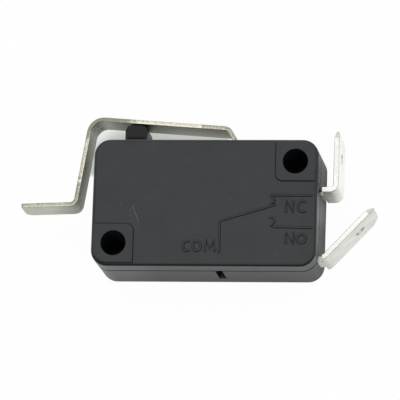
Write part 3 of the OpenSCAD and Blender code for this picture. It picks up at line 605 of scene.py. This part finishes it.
class StripPath:
    """Middle line of a bent strip in the XY plane, in millimetres."""

    def __init__(self, x, y, heading):
        self.runs = []
        self.end = (x, y, heading)
        self.total = 0.0

    def line(self, run):
        """Goes straight on."""
        x, y, a = self.end
        self.runs.append((self.total, run, x, y, a, 0.0))
        self.end = (x + run * math.cos(a), y + run * math.sin(a), a)
        self.total += run
        return self

    def bend(self, angle, radius):
        """Turns left by a positive angle, right by a negative one, about a middle radius."""
        x, y, a = self.end
        run = abs(angle) * radius
        self.runs.append((self.total, run, x, y, a, angle / run))
        self.total += run
        self.end = self.at(self.total)
        return self

    def at(self, s):
        """Point and heading at a distance along the middle line."""
        start, run, x, y, a, curl = next(
            (r for r in self.runs if s <= r[0] + r[1] + 1e-9), self.runs[-1]
        )
        d = s - start
        if not curl:
            return x + d * math.cos(a), y + d * math.sin(a), a
        b = a + curl * d
        return x + (math.sin(b) - math.sin(a)) / curl, y - (math.cos(b) - math.cos(a)) / curl, b

    def bent(self, s):
        """Whether a distance lies inside a bend."""
        return any(curl and start + 1e-4 < s < start + run - 1e-4 for start, run, _, _, _, curl in self.runs)

    def stations(self, step):
        """Distances at which the strip is cut so that its bends come out round."""
        cuts = []
        for start, run, _, _, _, curl in self.runs:
            count = max(1, round(abs(curl) * run / step)) if curl else 1
            cuts += [start + run * i / count for i in range(count + 1)]
        return sorted(set(round(c, 6) for c in cuts))


def quarter_round(x, y, r, start, steps=6):
    """Points of a quarter round."""
    return [
        (x + r * math.cos(start + math.pi / 2 * i / steps), y + r * math.sin(start + math.pi / 2 * i / steps))
        for i in range(steps + 1)
    ]


def ring(x, y, r, count=28):
    """Points of a round hole."""
    return [
        (x + r * math.cos(math.tau * i / count), y + r * math.sin(math.tau * i / count))
        for i in range(count)
    ]


def bent_strip(name, path, loops, thick, edge, shape=None):
    """Cuts a flat blank with rounded edges from loops of length and width, then folds it along a path."""
    curve = bpy.data.curves.new(name + "_blank", "CURVE")
    curve.dimensions = "2D"
    curve.fill_mode = "BOTH"
    curve.extrude = thick / 2 - edge
    curve.bevel_depth = edge
    curve.bevel_resolution = 2
    curve.offset = -edge
    for i, loop in enumerate(loops):
        # The first loop is the outline; the holes run the other way round.
        loop = loop[::-1] if i else loop
        spline = curve.splines.new("POLY")
        spline.points.add(len(loop) - 1)
        for point, (s, w) in zip(spline.points, loop):
            point.co = (s, w, 0, 1)
        spline.use_cyclic_u = True
    blank = bpy.data.objects.new(name + "_blank", curve)
    bpy.context.scene.collection.objects.link(blank)
    bpy.context.view_layer.update()
    mesh = plain_mesh(blank)
    bpy.data.objects.remove(blank)
    bpy.data.curves.remove(curve)
    work = bmesh.new()
    work.from_mesh(mesh)
    bmesh.ops.remove_doubles(work, verts=work.verts, dist=1e-4)
    for layer in list(work.loops.layers.uv):
        work.loops.layers.uv.remove(layer)
    # Bends are cut into slices of about five degrees, but not at the strip's very ends.
    for s in path.stations(math.radians(5)):
        if 0.001 < s < path.total - 0.001:
            bmesh.ops.bisect_plane(
                work, geom=work.verts[:] + work.edges[:] + work.faces[:], plane_co=(s, 0, 0),
                plane_no=(1, 0, 0), dist=1e-5,
            )
    if shape:
        for v in work.verts:
            v.co = shape(v.co)
    strip = work.loops.layers.uv.new("Strip")
    cut = work.faces.layers.int.new("Cut")
    work.normal_update()
    # The rims of the punched holes come out clean, without a burr.
    punched = [Vector(point) for loop in loops[1:] for point in loop]
    for face in work.faces:
        lie = abs(face.normal.z)
        middle = face.calc_center_median().xy
        clean = lie < SHEARED or any((middle - point).length < HOLE_RIM for point in punched)
        face[cut] = 0 if lie > ROLLED else 1 if clean else 2
        for loop in face.loops:
            loop[strip].uv = loop.vert.co.x, loop.vert.co.z
    for v in work.verts:
        s, w, t = v.co
        x, y, a = path.at(min(max(s, 0.0), path.total))
        if path.bent(s):
            t *= 1 - 2 * BEND_THIN / thick
        over = s - min(max(s, 0.0), path.total)
        v.co = (
            (x + over * math.cos(a) - t * math.sin(a)) * MM,
            (y + over * math.sin(a) + t * math.cos(a)) * MM,
            w * MM,
        )
    bmesh.ops.recalc_face_normals(work, faces=work.faces)
    work.to_mesh(mesh)
    work.free()
    mesh.name = name
    return mesh


def edge_faces(mesh):
    """Gives a strip's cut edges their second material and their burred rims the third."""
    cut = mesh.attributes["Cut"]
    for face, kind in zip(mesh.polygons, cut.data):
        face.material_index = kind.value
    mesh.attributes.remove(cut)


def cut_round(obj, centre, radius, span):
    """Cuts a round groove along Z out of a piece; sizes in millimetres."""
    mesh = bpy.data.meshes.new("round_cutter")
    work = bmesh.new()
    bmesh.ops.create_cone(
        work, cap_ends=True, segments=32, radius1=radius * MM, radius2=radius * MM, depth=span * MM,
        matrix=Matrix.Translation(Vector(centre) * MM),
    )
    work.to_mesh(mesh)
    work.free()
    cutter = new_object("round_cutter", mesh)
    modifier = obj.modifiers.new("Groove", "BOOLEAN")
    modifier.operation = "DIFFERENCE"
    modifier.object = cutter
    modifier.solver = "EXACT"
    bpy.context.view_layer.update()
    finished = plain_mesh(obj)
    obj.modifiers.clear()
    obj.data = finished
    bpy.data.objects.remove(cutter)


def bead_tree():
    """Geometry nodes that sweep a bead along paths, for raised marks, scratches and wire."""
    tree = bpy.data.node_groups.new("Swept bead", "GeometryNodeTree")
    face = tree.interface
    face.new_socket("Geometry", in_out="INPUT", socket_type="NodeSocketGeometry")
    keys = {}
    for label, kind in (
        ("Half width", "NodeSocketFloat"), ("Height", "NodeSocketFloat"),
        ("Sides", "NodeSocketInt"), ("Material", "NodeSocketMaterial"),
    ):
        keys[label] = face.new_socket(label, in_out="INPUT", socket_type=kind).identifier
    face.new_socket("Geometry", in_out="OUTPUT", socket_type="NodeSocketGeometry")
    source = add(tree, "NodeGroupInput").outputs
    circle = add(tree, "GeometryNodeCurvePrimitiveCircle", {"Resolution": source["Sides"], "Radius": 1.0})
    size = add(tree, "ShaderNodeCombineXYZ", {"X": source["Half width"], "Y": source["Height"], "Z": 1.0})
    # Turned by half a side, an eight-sided profile has a flat top with sloping shoulders.
    turned = add(tree, "GeometryNodeTransform", {"Geometry": circle, "Rotation": (0, 0, HALF_SIDE)})
    profile = add(tree, "GeometryNodeTransform", {"Geometry": turned, "Scale": size})
    swept = add(
        tree, "GeometryNodeCurveToMesh",
        {"Curve": source["Geometry"], "Profile Curve": profile, "Fill Caps": True},
    )
    real = add(tree, "GeometryNodeRealizeInstances", {"Geometry": swept})
    painted = add(tree, "GeometryNodeSetMaterial", {"Geometry": real, "Material": source["Material"]})
    add(tree, "NodeGroupOutput", {"Geometry": painted})
    return tree, keys


def swept_bead(name, paths, half_width, height, sides, material):
    """Sweeps a bead along point lists in metres and returns it as a plain object."""
    curve = bpy.data.curves.new(name + "_path", "CURVE")
    curve.dimensions = "3D"
    # A flat-topped bead keeps its top up, and round wire turns as little as it can.
    curve.twist_mode = "Z_UP" if height != half_width else "MINIMUM"
    for path in paths:
        spline = curve.splines.new("POLY")
        spline.points.add(len(path) - 1)
        for point, p in zip(spline.points, path):
            point.co = (*p, 1)
    holder = bpy.data.objects.new(name + "_path", curve)
    bpy.context.scene.collection.objects.link(holder)
    tree, keys = bead_tree()
    modifier = holder.modifiers.new("Swept bead", "NODES")
    modifier.node_group = tree
    modifier[keys["Half width"]] = half_width
    modifier[keys["Height"]] = height
    modifier[keys["Sides"]] = sides
    modifier[keys["Material"]] = material
    bpy.context.view_layer.update()
    mesh = plain_mesh(holder)
    bpy.data.objects.remove(holder)
    bpy.data.curves.remove(curve)
    work = bmesh.new()
    work.from_mesh(mesh)
    bmesh.ops.remove_doubles(work, verts=work.verts, dist=0.0002 * MM)
    bmesh.ops.recalc_face_normals(work, faces=work.faces)
    work.to_mesh(mesh)
    work.free()
    mesh.name = name
    obj = new_object(name, mesh, material)
    obj.data.shade_smooth()
    obj.data.set_sharp_from_angle(angle=math.radians(SMOOTH_BEAD))
    return obj


def arc_points(x, y, rx, ry, start, sweep, steps=20):
    """Points along an elliptical arc, angles in degrees."""
    return [
        (x + rx * math.cos(math.radians(start + sweep * i / steps)),
         y + ry * math.sin(math.radians(start + sweep * i / steps)))
        for i in range(steps + 1)
    ]


def letter_c(x, y, w, h):
    """Stroke of a C, open to the right, from its lower left corner."""
    return [arc_points(x + w / 2, y + h / 2, w / 2, h / 2, 50, 260)]


def letter_o(x, y, w, h):
    """Stroke of an O, from its lower left corner."""
    return [arc_points(x + w / 2, y + h / 2, w / 2, h / 2, 0, 360)]


def letter_m(x, y, w, h):
    """Stroke of an M with leaning legs, from its lower left corner."""
    return [[(x, y), (x + w * 0.12, y + h), (x + w / 2, y + h * 0.2), (x + w * 0.88, y + h), (x + w, y)]]


def letter_n(x, y, w, h):
    """Stroke of an N, from its lower left corner."""
    return [[(x, y), (x, y + h), (x + w, y), (x + w, y + h)]]


def at_height(strokes, height):
    """Strokes in millimetres as points in metres at a height."""
    return [[(x * MM, y * MM, height) for x, y in stroke] for stroke in strokes]


def mark_strokes():
    """Strokes of the circuit sign and of the COM, NC and NO letters on the face, in millimetres."""
    strokes = []
    strokes += letter_c(8.64, -0.94, 0.95, 1.24)
    strokes += letter_o(9.83, -0.94, 1.02, 1.24)
    strokes += letter_m(11.36, -1.04, 1.21, 1.5)
    strokes += [[(12.94, -1.09), (13.03, -1.07), (13.13, -0.96), (13.06, 2.72), (13.17, 2.85), (19.9, 4.88)]]
    strokes += [[(19.23, 6.16), (19.49, 5.86), (19.74, 5.42), (19.65, 5.17), (19.28, 4.99)]]
    strokes += [[(19.6, 6.05), (24.4, 6.05)]]
    strokes += letter_n(21.22, 3.87, 0.84, 1.55)
    strokes += letter_c(22.66, 3.99, 1.14, 1.34)
    strokes += [[(19.14, 3.22), (19.47, 3.34), (19.77, 3.13), (19.8, 2.76), (19.5, 2.42), (19.34, 2.2)]]
    strokes += [[(19.59, 2.1), (21.17, 2.08), (24.45, 2.0)]]
    strokes += letter_n(21.28, -0.05, 0.9, 1.5)
    strokes += letter_o(22.62, 0.06, 1.1, 1.16)
    return strokes


def scratch_strokes():
    """Paths of a scratch and of small nicks that handling left on the face, in millimetres."""
    nicks = ((3.88, 5.66), (14.35, 5.57), (14.88, 9.84), (20.82, -0.24), (19.96, -1.27), (19.21, 6.26))
    strokes = [[(2.21, 4.68), (2.52, 3.98), (2.77, 3.42), (2.93, 2.96), (3.0, 2.58)]]
    strokes += [[(x - 0.05, y + 0.03), (x + 0.05, y - 0.03)] for x, y in nicks]
    return strokes


class SWITCH_OT_body(bpy.types.Operator):
    """Rounds the moulded edges of case and cover and gives them their plastic"""

    bl_idname = "switch.body"
    bl_label = "Case and cover"

    def execute(self, context):
        s = context.scene.switch.moulding
        plastic = moulded_plastic(PHENOLIC, s.body, s.body_pale, rough=0.32, shine=0.455, scuff=s.scuff)
        holes = [Vector((0, 0)), Vector((s.hole_dx, s.hole_dy))]
        above_face = s.face_height + 0.05 * MM

        def on_pad(line):
            """Whether an edge runs round the top of a raised pad and not round a hole."""
            return all(
                v.co.z > above_face and all((v.co.xy - hole).length > s.hole_rim for hole in holes)
                for v in line.verts
            )

        for node in ("case", "cover"):
            piece = softened_copy(node, "moulded_" + node, s.break_edge, plastic, s.pad_edge, on_pad)
            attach(piece, "base")
            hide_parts(node)
        return {"FINISHED"}


class SWITCH_OT_marks(bpy.types.Operator):
    """Raises the circuit sign and the letters on the face and adds its scratches"""

    bl_idname = "switch.marks"
    bl_label = "Marks on the face"

    def execute(self, context):
        s = context.scene.switch.moulding
        plastic = bpy.data.materials[PHENOLIC]
        # The marks are the upper part of an eight-sided bead that is sunk in the face.
        half = (s.mark_width / 2 - s.mark_slope * s.mark_height) / math.sin(HALF_SIDE)
        tall = half / s.mark_slope
        level = s.face_height + s.mark_height - tall * math.cos(HALF_SIDE)
        marks = swept_bead("raised_marks", at_height(mark_strokes(), level), half, tall, 8, plastic)
        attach(marks, "base")
        scuffed = moulded_plastic(
            "Moulded phenolic, scratched", s.scratch, s.scratch_pale, rough=0.5, shine=0.4
        )
        scratches = swept_bead(
            "face_scratches", at_height(scratch_strokes(), s.face_height),
            s.scratch_width / 2, s.scratch_width / 8, 8, scuffed,
        )
        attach(scratches, "base")
        return {"FINISHED"}


class SWITCH_OT_plunger(bpy.types.Operator):
    """Rounds the plunger's edges and gives it its plastic"""

    bl_idname = "switch.plunger"
    bl_label = "Plunger"

    def execute(self, context):
        s = context.scene.switch.moulding
        plastic = moulded_plastic("Moulded nylon, satin", s.button, s.button_pale, rough=0.36, shine=0.25)
        piece = softened_copy("plunger", "moulded_plunger", s.break_edge, plastic)
        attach(piece, "plunger")
        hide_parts("plunger")
        return {"FINISHED"}


class SWITCH_OT_lever(bpy.types.Operator):
    """Cuts the lever's blank and folds it: foot, arm, leg and tip"""

    bl_idname = "switch.lever"
    bl_label = "Lever"

    def execute(self, context):
        s = context.scene.switch.lever
        g = millimetres(s)
        half = g.thick / 2
        foot_turn = math.pi / 2 - s.foot_lean - s.arm_slope
        crank_turn = math.pi / 2 - s.leg_lean + s.arm_slope
        tip_turn = math.pi / 2 - s.leg_lean - s.tip_tilt
        foot_run = (g.arm_height - half * math.cos(foot_turn)) / math.sin(foot_turn)
        back_foot = (g.foot_bend + g.thick) * math.tan(foot_turn / 2)
        back_crank = (g.crank_bend + g.thick) * math.tan(crank_turn / 2)
        back_tip = g.tip_bend * math.tan(tip_turn / 2)
        heading = math.pi / 2 + s.foot_lean
        reach = g.hook_drop + g.hook_length
        path = StripPath(
            g.pivot_x - reach * math.cos(heading), g.pivot_y - reach * math.sin(heading), heading
        )
        path.line(reach + foot_run - back_foot)
        path.bend(foot_turn, g.foot_bend + half)
        path.line(g.arm_length - back_foot - back_crank)
        path.bend(crank_turn, g.crank_bend + half)
        path.line(g.leg_length - back_crank - back_tip)
        path.bend(-tip_turn, g.tip_bend + half)
        path.line(g.tip_length - back_tip)
        wide = reach + g.foot_clear / math.cos(s.foot_lean)
        m, hook, foot, broad = g.middle, g.hook_width / 2, g.foot_width / 2, g.width / 2
        far, rb, rf = path.total, g.tip_back, g.tip_front
        outline = [
            (0, m - hook), (g.hook_length, m - hook), (g.hook_length, m - foot), (wide, m - foot),
            (wide, m - broad), *quarter_round(far - rb, m - broad + rb, rb, -math.pi / 2),
            *quarter_round(far - rf, m + broad - rf, rf, 0), (wide, m + broad), (wide, m + foot),
            (g.hook_length, m + foot), (g.hook_length, m + hook), (0, m + hook),
        ]
        mesh = bent_strip("bent_lever", path, [outline], g.thick, g.break_edge)
        steel = rolled_metal(
            "Stainless strip, rolled", s.steel_dark, s.steel,
            rough=0.32, line_mm=0.12, relief=0.004, smudge=s.smudge,
        )
        shear = sheared_edge(
            "Stainless strip, sheared", s.edge_dark, s.edge, rough=0.45, band=1.3, edge_tones=LEVER_EDGE_TONES
        )
        piece = new_object("bent_lever", mesh, steel, shear, shear)
        edge_faces(mesh)
        smooth(piece, SMOOTH_STRIP)
        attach(piece, "lever")
        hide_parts("lever")
        return {"FINISHED"}


class SWITCH_OT_terminals(bpy.types.Operator):
    """Cuts and folds both terminals with their tabs"""

    bl_idname = "switch.terminals"
    bl_label = "Terminals"

    def execute(self, context):
        s = context.scene.switch.terminal
        g = millimetres(s)
        plating = rolled_metal(
            "Brass strip, silver plated", s.plate_dull, s.plate, rough=0.5, line_mm=0.2, relief=0.003
        )
        shear = sheared_edge(
            "Brass strip, sheared and plated", s.edge_dark, s.edge, rough=0.4, band=0.5, edge_tones=TAB_EDGE_TONES
        )
        burr = sheared_edge("Brass strip, burred", s.burr, s.edge, rough=0.5, band=0.0, edge_tones=BURR_EDGE_TONES)
        t, half = g.thick, g.thick / 2
        low, high = g.strip_z, g.strip_z + g.strip_width
        neck_low = g.neck_z
        tab_low, tab_high = g.tab_z, g.tab_z + g.tab_width
        centre = tab_low + g.tab_width / 2
        pivot_z = (low + high) / 2

        def tab_outline(wall, shoulder, far, neck):
            """Neck, shoulders and tapered tip of a tab, from the strip's back edge to its front edge."""
            return [
                (wall, low), (wall, neck_low), (shoulder, neck_low), (shoulder, tab_low),
                (far - g.taper_length, tab_low), (far, tab_low + g.taper_inset),
                (far, tab_high - g.taper_inset), (far - g.taper_length, tab_high),
                (shoulder, tab_high), (shoulder, neck_low + neck), (wall, neck_low + neck), (wall, high),
            ]

        def coined(far):
            """Thins the tip, which is struck flat so that a connector finds it."""
            def shape(co):
                into = min(max((co.x - far + g.coin_length) / g.coin_length, 0), 1)
                return Vector((co.x, co.y, co.z * (1 - s.coin_thin * into)))
            return shape

        outer = g.upper_bend + t
        bend_x = g.upper_reach - outer
        path = StripPath(g.upper_x, g.upper_y + half, 0.0)
        path.line(bend_x - g.upper_x).bend(math.pi / 2, g.upper_bend + half)
        path.line(g.upper_rise - outer)
        far, wall = path.total, g.neck_x - g.upper_x
        outline = [
            (0, low), *tab_outline(wall, g.upper_shoulder - g.upper_x, far, g.upper_neck), (0, high),
        ]
        holes = [
            ring(far - g.detent_back, centre, g.detent / 2),
            ring(g.contact_x - g.upper_x, pivot_z, g.shank / 2),
        ]
        upper = bent_strip("upper_terminal", path, [outline, *holes], t, g.break_edge, coined(far))

        path = StripPath(g.post_x + half, g.post_top, -math.pi / 2)
        path.line(g.post_top - g.lower_y - g.post_bend - t)
        path.bend(math.pi / 2, g.post_bend + half)
        floor_x = g.post_x + g.post_bend + t
        at_floor = path.total
        path.line(g.lower_shoulder - floor_x)
        path.bend(s.lower_slant, g.lower_bend + half)
        path.line(g.lower_length - (g.lower_bend + t) * math.tan(s.lower_slant / 2))
        far = path.total
        wall, shoulder = at_floor + g.neck_x - floor_x, at_floor + g.lower_shoulder - floor_x
        fork, gap = g.post_top - g.fork_floor, g.fork_gap / 2
        outline = [
            (0, low), *tab_outline(wall, shoulder, far, g.lower_neck), (0, high), (0, pivot_z + gap),
            (fork, pivot_z + gap), (fork, pivot_z - gap), (0, pivot_z - gap),
        ]
        holes = [ring(far - g.detent_back, centre, g.detent / 2)]
        lower = bent_strip("lower_terminal", path, [outline, *holes], t, g.break_edge, coined(far))

        for name, mesh, node in (
            ("upper_terminal", upper, "nc_terminal"), ("lower_terminal", lower, "common_terminal"),
        ):
            piece = new_object(name, mesh, plating, shear, burr)
            edge_faces(mesh)
            if node == "common_terminal":
                groove = (g.groove_x, g.groove_y, pivot_z)
                cut_round(piece, groove, g.groove, 2 * g.strip_width)
            smooth(piece, SMOOTH_STRIP)
            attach(piece, "base")
            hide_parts(node)
        return {"FINISHED"}


class SWITCH_OT_action(bpy.types.Operator):
    """Finishes the leaf, arm and contacts and winds the spring"""

    bl_idname = "switch.action"
    bl_label = "Snap action"

    def execute(self, context):
        s = context.scene.switch.action
        bronze = rolled_metal(
            "Bronze strip, rolled", s.bronze_dark, s.bronze, rough=0.3, line_mm=0.1, relief=0.003
        )
        silver = rolled_metal(
            "Silver alloy, headed", s.silver_dark, s.silver, rough=0.35, line_mm=0.15, relief=0.002
        )
        wire = rolled_metal(
            "Spring steel wire, drawn", s.wire_dark, s.wire, rough=0.3, line_mm=0.1, relief=0.002
        )
        for node, material in (
            ("drive_leaf", bronze), ("contact_arm", bronze),
            ("nc_contact", silver), ("moving_contact", silver),
        ):
            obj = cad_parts[node]
            obj.data.materials.clear()
            obj.data.materials.append(material)
        start, end = Vector(s.leaf_end), Vector(s.arm_end)
        span, axis = (end - start).length, (end - start).normalized()
        up = Vector((-axis.y, axis.x, 0))
        out = axis.cross(up)
        steps, r = 16, s.coil
        pitch = (span - 2 * r) / s.turns
        # A hook in the leaf's hole, the coils and a hook in the arm's hole, along the spring's own axis.
        leaf_hook, arm_hook = range(20, 181, 10), range(10, 151, 10)
        local = [(r - r * math.sin(a), -r * math.cos(a), 0) for a in map(math.radians, leaf_hook)]
        for i in range(s.turns * steps + 1):
            a = math.tau * i / steps
            local.append((r + pitch * i / steps, r * math.cos(a), r * math.sin(a)))
        local += [(span - r + r * math.sin(a), r * math.cos(a), 0) for a in map(math.radians, arm_hook)]
        path = [start + axis * x + up * y + out * z for x, y, z in local]
        radius = s.wire_size / 2
        piece = swept_bead("wound_spring", [path], radius, radius, 10, wire)
        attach(piece, "spring")
        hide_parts("tension_spring")
        return {"FINISHED"}


class SWITCH_OT_stage(bpy.types.Operator):
    """Lays the white sheet, sets up the light tent and places the camera"""

    bl_idname = "switch.stage"
    bl_label = "Studio"

    def execute(self, context):
        s = context.scene.switch.studio
        scene = context.scene
        mesh = bpy.data.meshes.new("white_sheet")
        r = s.sheet
        mesh.from_pydata([(-r, -r, 0), (r, -r, 0), (r, r, 0), (-r, r, 0)], [], [(0, 1, 2, 3)])
        sheet = new_object("white_sheet", mesh, matte_paper(s))
        scene.world = light_tent(s)
        lens = bpy.data.cameras.new("camera")
        lens.sensor_width = 36
        lens.lens = s.lens
        lens.clip_start, lens.clip_end = 0.05, 20
        camera = bpy.data.objects.new("camera", lens)
        scene.collection.objects.link(camera)
        back, right = Vector(s.back).normalized(), Vector(s.right).normalized()
        up = back.cross(right)
        turned = Matrix((right, up, back)).transposed().to_4x4()
        camera.matrix_world = Matrix.Translation(s.camera) @ turned
        scene.camera = camera
        scene.view_settings.view_transform = "Standard"
        return {"FINISHED"}


class VIEW3D_PT_switch(bpy.types.Panel):
    """Lists the steps that dress the switch"""

    bl_label = "Micro switch"
    bl_space_type = "VIEW_3D"
    bl_region_type = "UI"
    bl_category = "Micro switch"

    def draw(self, context):
        for operator in OPERATORS:
            self.layout.operator(operator.bl_idname)


SETTINGS = (
    MouldingSettings, LeverSettings, TerminalSettings, ActionSettings, StudioSettings, SwitchSettings,
)
OPERATORS = (
    SWITCH_OT_body, SWITCH_OT_marks, SWITCH_OT_plunger, SWITCH_OT_lever, SWITCH_OT_terminals,
    SWITCH_OT_action, SWITCH_OT_stage,
)
CLASSES = (*SETTINGS, *OPERATORS, VIEW3D_PT_switch)


def register():
    for cls in CLASSES:
        bpy.utils.register_class(cls)
    bpy.types.Scene.switch = PointerProperty(type=SwitchSettings)


def unregister():
    del bpy.types.Scene.switch
    for cls in reversed(CLASSES):
        bpy.utils.unregister_class(cls)


def main():
    register()
    bpy.ops.switch.body()
    bpy.ops.switch.marks()
    bpy.ops.switch.plunger()
    bpy.ops.switch.lever()
    bpy.ops.switch.terminals()
    bpy.ops.switch.action()
    bpy.ops.switch.stage()


if __name__ == "__main__":
    main()
